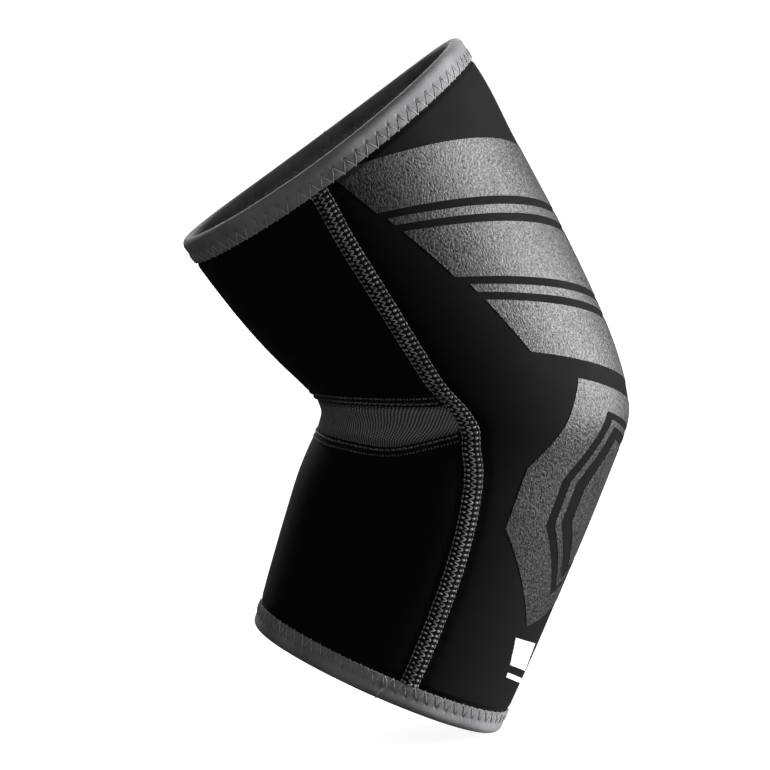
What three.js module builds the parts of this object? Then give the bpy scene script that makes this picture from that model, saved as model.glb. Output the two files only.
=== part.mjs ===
// An elbow sleeve of neoprene, in the bent and filled-out shape that it has on an arm.
// The bend lies in the XZ plane: the point of the elbow faces +X, the crook -X, and +Z is up.
// The origin is in the middle of the hollow, where the elbow sits. Y = 0 is its mirror plane.
// Its outer surface, the skin, is laid through a table of sections. Every piece is set on the skin
// by a station along the arm and a turn about it, so the pieces follow any change of the sizes.
import * as THREE from "three";

// Driving dimensions, in millimetres
const UPPER_LENGTH = 95.3; // from the bend to the upper rim, along the upper arm
const LOWER_LENGTH = 86.3; // from the bend to the lower rim, along the forearm
const UPPER_WIDTH = 106; // across the upper rim, from the crook side to the elbow side
const ELBOW_WIDTH = 95.4; // from the crook to the point of the elbow
const LOWER_WIDTH = 83; // across the lower rim
const UPPER_RIM_DIP = 2.2; // how much shorter the upper arm's part is at its sides
const LOWER_RIM_DROP = 1.1; // how much longer the forearm's part is in the crook
const WALL = 4; // neoprene with its two knit faces
const PANEL_GAP = 0.3; // between the edges of two panels
const BINDING_WIDTH = 5.4; // from its hem to where it folds over the rim
const BINDING_THICKNESS = 0.7;
const BINDING_PROUD = 0.4; // how far the tape stands out of the skin
const BINDING_CLEARANCE = 0.3; // between the tape and the neoprene that it grips
const PINCH_RAMP = 1.6; // length over which the neoprene swells beside the tape
const NOSE = 0.9; // how far the neoprene's edge reaches into the fold of the tape
const INSERT_HEIGHT = 16; // of the knit insert in the crook, where it is tallest
const INSERT_THICKNESS = 1.6;
const INSERT_SINK = 0.6; // how far the insert lies below the skin
const SIDE_SEAM_WIDTH = 6; // four rows of flatlock stitches
const CROOK_SEAM_WIDTH = 3.6; // two rows of flatlock stitches
const SEAM_THICKNESS = 0.6;
const SEAM_CLEARANCE = 0.3; // between a seam and the skin below it

// Angles, in degrees
const UPPER_LEAN = 29.5; // of the upper arm from the vertical, towards -X
const LOWER_LEAN = 19.6; // of the forearm from the vertical, towards -X
const UPPER_SLOPE = 36.5; // of the upper rim above the level
const LOWER_SLOPE = 24.4; // of the lower rim below the level

// The sections, from the lower rim to the upper one.
//   at      station: a share of the lower length below the bend, or of the upper one above it
//   crook   reach from the arm's axis to the crook side, as a share of half the local width
//   point   reach to the elbow side, as a share of half the local width
//   depth   reach along Y to each side, as a share of half the local width
//   widest  where the section is deepest: a share of the way from the crook to the point
//   seam    turn of the side seams from the point of the elbow, in degrees
const SECTIONS = [
  { at: -1.0, crook: 1.027, point: 0.985, depth: 0.95, widest: 0.5, seam: 79.2 },
  { at: -0.75, crook: 1.015, point: 0.995, depth: 0.955, widest: 0.5, seam: 78.5 },
  { at: -0.5, crook: 1.013, point: 0.998, depth: 0.955, widest: 0.5, seam: 79 },
  { at: -0.3, crook: 1.01, point: 1.01, depth: 0.95, widest: 0.49, seam: 81 },
  { at: -0.15, crook: 0.995, point: 1.018, depth: 0.935, widest: 0.48, seam: 84.4 },
  { at: -0.07, crook: 0.99, point: 1.02, depth: 0.928, widest: 0.48, seam: 88.3 },
  { at: 0.0, crook: 1.0, point: 1.0, depth: 0.925, widest: 0.48, seam: 90.4 },
  { at: 0.07, crook: 0.955, point: 1.042, depth: 0.925, widest: 0.48, seam: 92.8 },
  { at: 0.15, crook: 0.95, point: 1.062, depth: 0.925, widest: 0.48, seam: 96 },
  { at: 0.3, crook: 0.967, point: 1.065, depth: 0.93, widest: 0.49, seam: 97.5 },
  { at: 0.5, crook: 0.98, point: 1.045, depth: 0.935, widest: 0.5, seam: 98 },
  { at: 0.75, crook: 0.99, point: 1.015, depth: 0.93, widest: 0.5, seam: 97.5 },
  { at: 0.9, crook: 0.995, point: 1.018, depth: 0.928, widest: 0.5, seam: 97 },
  { at: 1.0, crook: 1.0, point: 1.0, depth: 0.925, widest: 0.5, seam: 97 },
];

// The insert's two edges, from the middle of the crook (across 0) to the side seams (across 1).
//   above, below   their height over and under the fold, as a share of half the insert's height
const INSERT_EDGES = [
  { across: 0.0, above: 0.55, below: 0.62 },
  { across: 0.4, above: 0.74, below: 0.72 },
  { across: 0.7, above: 0.84, below: 0.76 },
  { across: 0.9, above: 0.92, below: 0.32 },
  { across: 1.0, above: 1.0, below: 0.06 },
];

// How finely the pieces are divided
const PANEL_COLUMNS = 19;
const OUTER_PANEL_ROWS = 22;
const INNER_PANEL_ROWS = 9;
const INSERT_ROWS = 5;
const FOLD_GRADING = 1.35; // above 1, the panels' rows lie closer together towards the fold
const BINDING_STEPS = 38;
const BINDING_FOLD_STEPS = 4;
const SIDE_SEAM_ROWS = 31;
const CROOK_SEAM_COLUMNS = 19;
const SEAM_CROWN = [0.55, 1, 1, 0.55]; // height across a seam, as a share of its thickness

const radians = THREE.MathUtils.degToRad;
const lerp = THREE.MathUtils.lerp;

// The slope of a table's column at row i, from its neighbours.
function columnSlope(rows, place, key, i) {
  const step = (k) => (rows[k + 1][key] - rows[k][key]) / (rows[k + 1][place] - rows[k][place]);
  if (i === 0) return step(0);
  if (i === rows.length - 1) return step(i - 1);
  const before = rows[i][place] - rows[i - 1][place];
  const after = rows[i + 1][place] - rows[i][place];
  return (step(i - 1) * after + step(i) * before) / (before + after);
}

// A table's column as a smooth curve through its rows, straight beyond the first and the last.
function smooth(rows, place, key, x) {
  const last = rows.length - 1;
  if (x <= rows[0][place]) {
    return rows[0][key] + columnSlope(rows, place, key, 0) * (x - rows[0][place]);
  }
  if (x >= rows[last][place]) {
    return rows[last][key] + columnSlope(rows, place, key, last) * (x - rows[last][place]);
  }
  const next = rows.findIndex((row) => row[place] > x);
  const [a, b] = [rows[next - 1], rows[next]];
  const span = b[place] - a[place];
  const w = (x - a[place]) / span;
  const rise = w * w * (3 - 2 * w);
  const leave = w * (1 - w) * (1 - w) * span * columnSlope(rows, place, key, next - 1);
  const arrive = w * w * (1 - w) * span * columnSlope(rows, place, key, next);
  return lerp(a[key], b[key], rise) + leave - arrive;
}

// One section of the table as places in the plane of the bend.
function sectionInPlane({ at, crook, point, depth, widest, seam }) {
  const upper = at >= 0;
  const share = Math.abs(at);
  const length = upper ? UPPER_LENGTH : LOWER_LENGTH;
  const lean = radians(upper ? UPPER_LEAN : 180 - LOWER_LEAN);
  const slope = radians(share * (upper ? UPPER_SLOPE : -LOWER_SLOPE));
  const half = lerp(ELBOW_WIDTH, upper ? UPPER_WIDTH : LOWER_WIDTH, share) / 2;
  const axisX = -Math.sin(lean) * length * share;
  const axisZ = Math.cos(lean) * length * share;
  return {
    at,
    crookX: axisX - Math.cos(slope) * half * crook,
    crookZ: axisZ - Math.sin(slope) * half * crook,
    pointX: axisX + Math.cos(slope) * half * point,
    pointZ: axisZ + Math.sin(slope) * half * point,
    depth: half * depth,
    widest,
    seam: radians(seam),
  };
}

const RAILS = SECTIONS.map(sectionInPlane);
const rail = (key, at) => smooth(RAILS, "at", key, at);

// A point of the skin. Turn 0 is at the point of the elbow, and pi in the crook.
function skin(at, turn) {
  const crook = new THREE.Vector3(rail("crookX", at), 0, rail("crookZ", at));
  const point = new THREE.Vector3(rail("pointX", at), 0, rail("pointZ", at));
  const middle = crook.clone().lerp(point, rail("widest", at));
  const reach = Math.cos(turn) > 0 ? point.sub(middle) : middle.clone().sub(crook);
  middle.addScaledVector(reach, Math.cos(turn));
  middle.y = -rail("depth", at) * Math.sin(turn);
  return middle;
}

// The skin's directions at a point: up the arm and round it, per station and per radian.
const STEP = 1e-3;
const upTheArm = (at, turn) => skin(at + STEP, turn).sub(skin(at - STEP, turn)).divideScalar(2 * STEP);
const roundTheArm = (at, turn) => skin(at, turn + STEP).sub(skin(at, turn - STEP)).divideScalar(2 * STEP);

// A point at a height over the skin, or under it where the height is negative.
function overSkin(at, turn, height) {
  const normal = upTheArm(at, turn).cross(roundTheArm(at, turn)).normalize();
  return skin(at, turn).addScaledVector(normal, height);
}

// The station reached from another one by a length up the arm, and the turn reached by a length round it.
const moveUp = (at, turn, length) => at + length / upTheArm(at, turn).length();
const moveRound = (at, turn, length) => turn + length / roundTheArm(at, turn).length();

// The station at a distance from the upper rim (end 1) or from the lower one (end -1).
function nearRim(end, turn, fromRim) {
  const drop = LOWER_RIM_DROP * ((1 - Math.cos(turn)) / 2) ** 2;
  const dip = end > 0 ? UPPER_RIM_DIP * Math.sin(turn) ** 2 : -drop;
  return moveUp(end, turn, -end * (fromRim + dip));
}

// A closed slab over a grid of rows up the arm and columns round it.
// place(row, column, inside) gives its corners, outside and inside.
function slab(rows, columns, place) {
  const corners = [];
  const index = [];
  const corner = (inside, i, j) => (inside * rows + i) * columns + j;
  const quad = (a, b, c, d) => index.push(a, b, c, a, c, d);
  for (const inside of [0, 1]) {
    for (let i = 0; i < rows; i += 1) {
      for (let j = 0; j < columns; j += 1) corners.push(...place(i, j, inside));
    }
  }
  for (let i = 0; i + 1 < rows; i += 1) {
    for (let j = 0; j + 1 < columns; j += 1) {
      quad(corner(0, i, j), corner(0, i + 1, j), corner(0, i + 1, j + 1), corner(0, i, j + 1));
      quad(corner(1, i, j), corner(1, i, j + 1), corner(1, i + 1, j + 1), corner(1, i + 1, j));
    }
    const right = columns - 1;
    quad(corner(0, i + 1, 0), corner(0, i, 0), corner(1, i, 0), corner(1, i + 1, 0));
    quad(corner(0, i, right), corner(0, i + 1, right), corner(1, i + 1, right), corner(1, i, right));
  }
  for (let j = 0; j + 1 < columns; j += 1) {
    const top = rows - 1;
    quad(corner(0, 0, j), corner(0, 0, j + 1), corner(1, 0, j + 1), corner(1, 0, j));
    quad(corner(0, top, j + 1), corner(0, top, j), corner(1, top, j), corner(1, top, j + 1));
  }
  return geometryOf(corners, index);
}

// A closed ring: steps copies of a closed outline, joined one to the next.
function ring(steps, outline, place) {
  const corners = [];
  const index = [];
  const count = outline.length;
  const corner = (k, s) => (k % steps) * count + (s % count);
  for (let k = 0; k < steps; k += 1) {
    for (const point of outline) corners.push(...place(k, point));
    for (let s = 0; s < count; s += 1) {
      const [a, b, c, d] = [corner(k, s), corner(k + 1, s), corner(k + 1, s + 1), corner(k, s + 1)];
      index.push(a, b, c, a, c, d);
    }
  }
  return geometryOf(corners, index);
}

function geometryOf(corners, index) {
  const geometry = new THREE.BufferGeometry();
  geometry.setAttribute("position", new THREE.Float32BufferAttribute(corners, 3));
  geometry.setIndex(index);
  geometry.computeVertexNormals();
  return geometry;
}

// Every mesh of the sleeve, each with its own material.
const sleeve = new THREE.Group();
sleeve.name = "elbow_sleeve";

function addPiece(name, geometry, { color, roughness }) {
  const material = new THREE.MeshStandardMaterial({ color, roughness, metalness: 0 });
  const mesh = new THREE.Mesh(geometry, material);
  mesh.name = name;
  sleeve.add(mesh);
}

const NEOPRENE = { color: 0x101012, roughness: 0.8 };
const KNIT = { color: 0x2c2b2e, roughness: 0.9 };
const TAPE = { color: 0x77787b, roughness: 0.7 };
const THREAD = { color: 0x3a3a3c, roughness: 0.6 };

// The neoprene's rows near a rim: its distance from the rim and its two faces' heights.
const PINCH = BINDING_THICKNESS + BINDING_CLEARANCE - BINDING_PROUD;
const PINCHED_HALF = WALL / 2 - PINCH;
const RIM_ROWS = [
  { fromRim: -NOSE, squeeze: PINCH + PINCHED_HALF / 2 },
  { fromRim: 0, squeeze: PINCH },
  { fromRim: BINDING_WIDTH / 2, squeeze: PINCH },
  { fromRim: BINDING_WIDTH + BINDING_CLEARANCE, squeeze: PINCH },
  { fromRim: BINDING_WIDTH + BINDING_CLEARANCE + PINCH_RAMP, squeeze: 0 },
];
const PINCHED_LENGTH = RIM_ROWS[RIM_ROWS.length - 1].fromRim;

// A neoprene corner, squeezed alike from outside and inside.
const neoprene = (at, turn, squeeze, inside) => overSkin(at, turn, inside ? squeeze - WALL : -squeeze);

// The turn of a panel's edge beside a side seam, on the elbow's side of it or the crook's.
const seamTurn = (at) => rail("seam", at);
const elbowSideEdge = (at) => moveRound(at, seamTurn(at), -PANEL_GAP / 2);
const crookSideEdge = (at) => moveRound(at, seamTurn(at), PANEL_GAP / 2);

// The turn of a panel's column, from -1 beside one side seam to 1 beside the other one.
const elbowTurn = (at, column) => column * elbowSideEdge(at);
const crookTurn = (at, column) => Math.PI + column * (Math.PI - crookSideEdge(at));


// The station at a share of the way from the fold to the one given, with the shares drawn to the fold.
const fromFold = (reach, share) => reach * Math.abs(share) ** FOLD_GRADING;

const columnShare = (j) => lerp(-1, 1, j / (PANEL_COLUMNS - 1));

// The one panel round the elbow's side, from rim to rim.
function outerPanel() {
  const ends = RIM_ROWS.length;
  return slab(OUTER_PANEL_ROWS + 2 * ends, PANEL_COLUMNS, (i, j, inside) => {
    const column = columnShare(j);
    const last = OUTER_PANEL_ROWS + 2 * ends - 1;
    const fromEnd = Math.min(i, last - i);
    const end = i <= last / 2 ? -1 : 1;
    if (fromEnd < ends) {
      const { fromRim, squeeze } = RIM_ROWS[fromEnd];
      const turn = elbowTurn(end, column);
      const at = nearRim(end, turn, fromRim);
      return neoprene(at, elbowTurn(at, column), squeeze, inside);
    }
    const share = lerp(-1, 1, (i - ends + 1) / (OUTER_PANEL_ROWS + 1));
    const at = fromFold(nearRim(end, elbowTurn(end, column), PINCHED_LENGTH), share);
    return neoprene(at, elbowTurn(at, column), 0, inside);
  });
}

// The station of the insert's edge over the fold (end 1) or under it (end -1).
const FOLD_STATION = 0.05;
function insertEdge(end, column) {
  const height = smooth(INSERT_EDGES, "across", end > 0 ? "above" : "below", Math.abs(column));
  const pace = upTheArm(end * FOLD_STATION, crookTurn(0, column)).length();
  return (end * height * INSERT_HEIGHT) / 2 / pace;
}

// A panel on the crook's side, from the insert's edge to the upper rim (end 1) or the lower one (-1).
function innerPanel(end) {
  const ends = RIM_ROWS.length;
  return slab(INNER_PANEL_ROWS + ends, PANEL_COLUMNS, (i, j, inside) => {
    const column = columnShare(j);
    const row = end > 0 ? i : INNER_PANEL_ROWS + ends - 1 - i;
    if (row >= INNER_PANEL_ROWS) {
      const { fromRim, squeeze } = RIM_ROWS[INNER_PANEL_ROWS + ends - 1 - row];
      const at = nearRim(end, crookTurn(end, column), fromRim);
      return neoprene(at, crookTurn(at, column), squeeze, inside);
    }
    const edge = insertEdge(end, column);
    const low = moveUp(edge, crookTurn(edge, column), (end * PANEL_GAP) / 2);
    const high = nearRim(end, crookTurn(end, column), PINCHED_LENGTH);
    const at = lerp(low, high, (row / INNER_PANEL_ROWS) ** FOLD_GRADING);
    return neoprene(at, crookTurn(at, column), 0, inside);
  });
}

// The thin knit insert in the crook.
function crookInsert() {
  return slab(INSERT_ROWS, PANEL_COLUMNS, (i, j, inside) => {
    const column = columnShare(j);
    const [below, above] = [-1, 1].map((end) => {
      const edge = insertEdge(end, column);
      return moveUp(edge, crookTurn(edge, column), (-end * PANEL_GAP) / 2);
    });
    const at = lerp(below, above, i / (INSERT_ROWS - 1));
    return overSkin(at, crookTurn(at, column), -INSERT_SINK - inside * INSERT_THICKNESS);
  });
}

// The tape's cross-section as places beyond the rim and over the skin: a U that grips the wall.
function bindingOutline() {
  const outer = WALL / 2 + BINDING_PROUD;
  const inner = outer - BINDING_THICKNESS;
  const fold = (radius, k) => {
    const angle = Math.PI / 2 - (Math.PI * k) / BINDING_FOLD_STEPS;
    return { beyond: radius * Math.cos(angle), height: radius * Math.sin(angle) - WALL / 2 };
  };
  const folds = Array.from({ length: BINDING_FOLD_STEPS + 1 }, (_, k) => k);
  const hems = (radius) => [radius, -radius].map((height) => ({
    beyond: -BINDING_WIDTH,
    height: height - WALL / 2,
  }));
  const [outerTop, outerBottom] = hems(outer);
  const [innerTop, innerBottom] = hems(inner);
  return [
    outerTop,
    ...folds.map((k) => fold(outer, k)),
    outerBottom,
    innerBottom,
    ...folds.reverse().map((k) => fold(inner, k)),
    innerTop,
  ];
}

// The folded tape round the upper rim (end 1) or the lower one (end -1).
function binding(end) {
  const outline = end > 0 ? bindingOutline().reverse() : bindingOutline();
  return ring(BINDING_STEPS, outline, (k, { beyond, height }) => {
    const turn = (2 * Math.PI * k) / BINDING_STEPS;
    return overSkin(nearRim(end, turn, -beyond), turn, height);
  });
}

// The height of a seam's top or underside over the skin, across its width.
const seamHeight = (j, inside) => SEAM_CLEARANCE + (inside ? 0 : SEAM_THICKNESS * SEAM_CROWN[j]);
const acrossSeam = (j, width) => (j / (SEAM_CROWN.length - 1) - 0.5) * width;

// The raised flatlock seam between the outer and inner panels: side 1 is at -Y, and side -1 at +Y.
function sideSeam(side) {
  const clear = BINDING_WIDTH + BINDING_CLEARANCE;
  return slab(SIDE_SEAM_ROWS, SEAM_CROWN.length, (i, j, inside) => {
    const share = lerp(-1, 1, i / (SIDE_SEAM_ROWS - 1));
    const end = Math.sign(share) || 1;
    const at = fromFold(nearRim(end, seamTurn(end), clear), share);
    const turn = moveRound(at, seamTurn(at), side * acrossSeam(j, SIDE_SEAM_WIDTH));
    return overSkin(at, side * turn, seamHeight(j, inside));
  });
}

// The raised seam along the insert's edge, on the panel over the fold (end 1) or under it (-1).
function crookSeam(end) {
  const middle = end * (PANEL_GAP / 2 + CROOK_SEAM_WIDTH / 2);
  const clear = SIDE_SEAM_WIDTH / 2 + SEAM_CLEARANCE;
  return slab(SEAM_CROWN.length, CROOK_SEAM_COLUMNS, (i, j, inside) => {
    const share = lerp(-1, 1, j / (CROOK_SEAM_COLUMNS - 1));
    const edge = insertEdge(end, share);
    const at = moveUp(edge, crookTurn(edge, share), middle + acrossSeam(i, CROOK_SEAM_WIDTH));
    const nearest = moveRound(at, seamTurn(at), clear);
    return overSkin(at, Math.PI + share * (Math.PI - nearest), seamHeight(i, inside));
  });
}

addPiece("outer_panel", outerPanel(), NEOPRENE);
addPiece("upper_inner_panel", innerPanel(1), NEOPRENE);
addPiece("lower_inner_panel", innerPanel(-1), NEOPRENE);
addPiece("crook_insert", crookInsert(), KNIT);
addPiece("upper_binding", binding(1), TAPE);
addPiece("lower_binding", binding(-1), TAPE);
addPiece("near_side_seam", sideSeam(1), THREAD);
addPiece("far_side_seam", sideSeam(-1), THREAD);
addPiece("upper_crook_seam", crookSeam(1), THREAD);
addPiece("lower_crook_seam", crookSeam(-1), THREAD);

export default sleeve;
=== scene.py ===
"""An elbow sleeve of neoprene, bent and filled out as on an arm, with its tapes, seams and grip print.

The bend lies in the XZ plane: the point of the elbow faces +X, the crook -X, and +Z is up.
Tables and places are in millimetres, and new_piece turns them into metres.
A place on the sleeve is a station along the arm (-1 at the lower rim, 0 at the bend, 1 at the upper
rim), a turn about the arm (0 at the point of the elbow, pi in the crook) and a height over the cloth.
"""
import math

import bmesh
import bpy
import numpy as np
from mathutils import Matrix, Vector


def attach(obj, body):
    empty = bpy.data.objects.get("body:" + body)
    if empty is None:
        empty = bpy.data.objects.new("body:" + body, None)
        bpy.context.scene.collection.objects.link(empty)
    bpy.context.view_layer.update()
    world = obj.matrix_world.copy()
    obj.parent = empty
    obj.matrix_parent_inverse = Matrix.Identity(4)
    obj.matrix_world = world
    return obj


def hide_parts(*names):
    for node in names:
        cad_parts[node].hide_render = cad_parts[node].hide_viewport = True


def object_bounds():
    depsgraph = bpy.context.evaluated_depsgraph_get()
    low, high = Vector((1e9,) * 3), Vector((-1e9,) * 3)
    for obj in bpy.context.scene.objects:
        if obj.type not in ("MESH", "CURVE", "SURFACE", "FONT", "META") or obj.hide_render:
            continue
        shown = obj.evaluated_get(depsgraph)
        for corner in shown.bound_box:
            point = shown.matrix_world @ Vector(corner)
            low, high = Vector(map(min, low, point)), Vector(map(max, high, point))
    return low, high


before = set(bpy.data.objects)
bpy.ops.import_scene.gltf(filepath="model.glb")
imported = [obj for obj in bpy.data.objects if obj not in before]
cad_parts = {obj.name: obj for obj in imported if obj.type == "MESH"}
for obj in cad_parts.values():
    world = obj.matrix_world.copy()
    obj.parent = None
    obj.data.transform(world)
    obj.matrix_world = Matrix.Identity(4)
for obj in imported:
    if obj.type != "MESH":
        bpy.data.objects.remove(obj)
cad_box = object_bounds()

MM = 0.001  # metres in a millimetre
NEAR, FAR = 1, -1  # the camera's side of the sleeve, at -Y, and the other one
UPPER, LOWER = 1, -1  # the upper arm's end of the sleeve and the forearm's

# The sleeve's sizes, as in its CAD source
UPPER_LENGTH = 95.3
LOWER_LENGTH = 86.3
UPPER_WIDTH = 106.0
ELBOW_WIDTH = 95.4
LOWER_WIDTH = 83.0
UPPER_RIM_DIP = 2.2
LOWER_RIM_DROP = 1.1
WALL = 4.0
TAPE_WIDTH = 5.4
TAPE_THICKNESS = 0.7
TAPE_PROUD = 0.4
TAPE_CLEARANCE = 0.3
PINCH_RAMP = 1.6
NOSE = 0.9
INSERT_HEIGHT = 16.0
INSERT_THICKNESS = 1.6
SIDE_SEAM_WIDTH = 6.0
CROOK_SEAM_WIDTH = 3.6
PANEL_GAP = 0.2
UPPER_LEAN = 29.5
LOWER_LEAN = 19.6
UPPER_SLOPE = 36.5
LOWER_SLOPE = 24.4

# Sections from the lower rim to the upper one: the station, then the reach to the crook, to the
# point of the elbow and to each side as shares of half the local width, where the section is
# deepest as a share of the way from crook to point, and the side seams' turn in degrees.
SECTION_COLUMNS = ("at", "crook", "point", "depth", "widest", "seam")
SECTIONS = [
    (-1.0, 1.027, 0.985, 0.95, 0.5, 79.2),
    (-0.75, 1.015, 0.995, 0.955, 0.5, 78.5),
    (-0.5, 1.013, 0.998, 0.955, 0.5, 79),
    (-0.3, 1.01, 1.01, 0.95, 0.49, 81),
    (-0.15, 0.995, 1.018, 0.935, 0.48, 84.4),
    (-0.07, 0.99, 1.02, 0.928, 0.48, 88.3),
    (0.0, 1.0, 1.0, 0.925, 0.48, 90.4),
    (0.07, 0.955, 1.042, 0.925, 0.48, 92.8),
    (0.15, 0.95, 1.062, 0.925, 0.48, 96),
    (0.3, 0.967, 1.065, 0.93, 0.49, 97.5),
    (0.5, 0.98, 1.045, 0.935, 0.5, 98),
    (0.75, 0.99, 1.015, 0.93, 0.5, 97.5),
    (0.9, 0.995, 1.018, 0.928, 0.5, 97),
    (1.0, 1.0, 1.0, 0.925, 0.5, 97),
]

# The knit insert's edges from the middle of the crook (0) to the side seams (1): their height
# above and below the fold, as shares of half the insert's height.
INSERT_ACROSS = np.array([0.0, 0.4, 0.7, 0.9, 1.0])
INSERT_EDGES = {
    UPPER: np.array([0.55, 0.74, 0.84, 0.92, 1.0]),
    LOWER: np.array([0.62, 0.72, 0.76, 0.32, 0.06]),
}


# Tables as smooth curves

def smooth(places, values, x):
    """A table's column as a smooth curve through its rows, straight beyond the first and the last."""
    spans = np.diff(places)
    steps = np.diff(values) / spans
    slopes = np.empty(len(values))
    slopes[0] = steps[0]
    slopes[-1] = steps[-1]
    slopes[1:-1] = (steps[:-1] * spans[1:] + steps[1:] * spans[:-1]) / (spans[1:] + spans[:-1])
    row = np.clip(np.searchsorted(places, x, side="right") - 1, 0, len(spans) - 1)
    span = spans[row]
    w = (x - places[row]) / span
    rise = w * w * (3 - 2 * w)
    leave = w * (1 - w) ** 2 * span * slopes[row]
    arrive = w * w * (1 - w) * span * slopes[row + 1]
    curve = values[row] + (values[row + 1] - values[row]) * rise + leave - arrive
    before = values[0] + slopes[0] * (x - places[0])
    after = values[-1] + slopes[-1] * (x - places[-1])
    return np.where(x < places[0], before, np.where(x > places[-1], after, curve))


def lerp(a, b, share):
    return a + (b - a) * share


def ease(x):
    """From 0 to 1 as x goes from 0 to 1, level at both ends."""
    x = np.clip(x, 0, 1)
    return x * x * (3 - 2 * x)


def bell(x, width):
    return np.exp(-((x / width) ** 2))


def section_rails():
    """The sections' crook and elbow points in the plane of the bend, and their other columns."""
    table = dict(zip(SECTION_COLUMNS, np.array(SECTIONS, dtype=float).T))
    share = np.abs(table["at"])
    upper = table["at"] >= 0
    length = np.where(upper, UPPER_LENGTH, LOWER_LENGTH) * share
    lean = np.radians(np.where(upper, UPPER_LEAN, 180 - LOWER_LEAN))
    slope = np.radians(np.where(upper, UPPER_SLOPE, -LOWER_SLOPE)) * share
    half = lerp(ELBOW_WIDTH, np.where(upper, UPPER_WIDTH, LOWER_WIDTH), share) / 2
    axis_x = -np.sin(lean) * length
    axis_z = np.cos(lean) * length
    return {
        "at": table["at"],
        "crook_x": axis_x - np.cos(slope) * half * table["crook"],
        "crook_z": axis_z - np.sin(slope) * half * table["crook"],
        "point_x": axis_x + np.cos(slope) * half * table["point"],
        "point_z": axis_z + np.sin(slope) * half * table["point"],
        "depth": half * table["depth"],
        "widest": table["widest"],
        "seam": np.radians(table["seam"]),
    }


RAILS = section_rails()


def rail(key, at):
    return smooth(RAILS["at"], RAILS[key], at)


# The sleeve's surface

def skin(at, turn):
    """Points of the smooth outer surface, for arrays of stations and turns."""
    at, turn = np.broadcast_arrays(np.asarray(at, dtype=float), turn)
    crook = np.stack([rail("crook_x", at), np.zeros(at.shape), rail("crook_z", at)], axis=-1)
    point = np.stack([rail("point_x", at), np.zeros(at.shape), rail("point_z", at)], axis=-1)
    middle = lerp(crook, point, rail("widest", at)[..., None])
    cosine = np.cos(turn)[..., None]
    place = middle + cosine * np.where(cosine > 0, point - middle, middle - crook)
    place[..., 1] = -rail("depth", at) * np.sin(turn)
    return place


STEP = 1e-3


def up_the_arm(at, turn):
    return (skin(at + STEP, turn) - skin(at - STEP, turn)) / (2 * STEP)


def round_the_arm(at, turn):
    return (skin(at, turn + STEP) - skin(at, turn - STEP)) / (2 * STEP)


def length_of(vectors):
    return np.linalg.norm(vectors, axis=-1)


def unit(vectors):
    return vectors / length_of(vectors)[..., None]


def outward(at, turn):
    return unit(np.cross(up_the_arm(at, turn), round_the_arm(at, turn)))


def move_up(at, turn, length):
    return at + length / length_of(up_the_arm(at, turn))


def move_round(at, turn, length):
    return turn + length / length_of(round_the_arm(at, turn))


def near_rim(end, turn, from_rim):
    """The station at a distance from the rim of one end of the sleeve."""
    drop = LOWER_RIM_DROP * ((1 - np.cos(turn)) / 2) ** 2
    dip = UPPER_RIM_DIP * np.sin(turn) ** 2 if end == UPPER else -drop
    return move_up(end + 0 * turn, turn, -end * (from_rim + dip))


def seam_turn(at):
    return rail("seam", at)


def crook_turn(at, column):
    """The turn of a column from one side seam (-1) through the crook (0) to the other one (1)."""
    return np.pi + column * (np.pi - move_round(at, seam_turn(at), PANEL_GAP / 2))


def elbow_turn(at, column):
    """The same through the point of the elbow."""
    return column * move_round(at, seam_turn(at), -PANEL_GAP / 2)


FOLD_STATION = 0.05


def insert_edge(end, column):
    """The station of the insert's upper or lower edge."""
    height = smooth(INSERT_ACROSS, INSERT_EDGES[end], np.abs(column)) * INSERT_HEIGHT / 2
    return end * height / length_of(up_the_arm(end * FOLD_STATION, crook_turn(0.0, column)))


# The cloth's relief: what the seams and the bend do to the smooth surface

SEAM_SINK = 0.45  # how deep the side seams pull the neoprene in
SEAM_SINK_WIDTH = 1.7
CROOK_SINK = 0.32  # and the seams beside the insert
CROOK_SINK_WIDTH = 2.6
PUCKER = 0.07
PUCKER_PITCH = 4.6
PUCKER_PLACE = 4.4  # how far beside a side seam the puckers are strongest
PUCKER_WIDTH = 1.6
UNEVENNESS = 0.16
SHORT_SWELL = 13  # the lengths of the two broad swells that make the cloth uneven
LONG_SWELL = 29


def crook_sink(at, away):
    """How far the seams beside the insert pull the cloth in, most at the middle of each seam."""
    column = np.clip((np.pi - away) / (np.pi - seam_turn(at)), 0, 1)
    stretch = length_of(up_the_arm(at, away))
    sink = 0.0
    for end in (UPPER, LOWER):
        from_edge = end * (at - insert_edge(end, column)) * stretch
        sink = sink + bell(from_edge - CROOK_SEAM_WIDTH / 2, CROOK_SINK_WIDTH)
    return CROOK_SINK * sink * (away > seam_turn(at))


def relief(at, turn):
    """Height of the cloth over the smooth surface."""
    away = np.abs((turn + np.pi) % (2 * np.pi) - np.pi)
    half_width = np.hypot(
        rail("point_x", at) - rail("crook_x", at), rail("point_z", at) - rail("crook_z", at)
    ) / 2
    along = at * np.where(at > 0, UPPER_LENGTH, LOWER_LENGTH)
    beside = np.abs(away - seam_turn(at)) * half_width
    sink = SEAM_SINK * bell(np.maximum(beside - SIDE_SEAM_WIDTH / 2, 0), SEAM_SINK_WIDTH)
    wave = np.sin(2 * np.pi * along / PUCKER_PITCH)
    pucker = PUCKER * wave * bell(beside - PUCKER_PLACE, PUCKER_WIDTH)
    swell = np.sin(along / SHORT_SWELL + 2 * away) * np.cos(along / LONG_SWELL - 3 * away)
    broad = UNEVENNESS * swell
    return pucker + broad - sink - crook_sink(at, away)


def over_cloth(at, turn, height=0.0):
    """Points at a height over the cloth's outer face."""
    height = np.broadcast_to(relief(at, turn) + height, np.broadcast(at, turn).shape)
    return skin(at, turn) + outward(at, turn) * height[..., None]


# Meshes from arrays of points

def quads(*corners):
    return np.stack([c.reshape(-1) for c in corners], axis=1)


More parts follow.
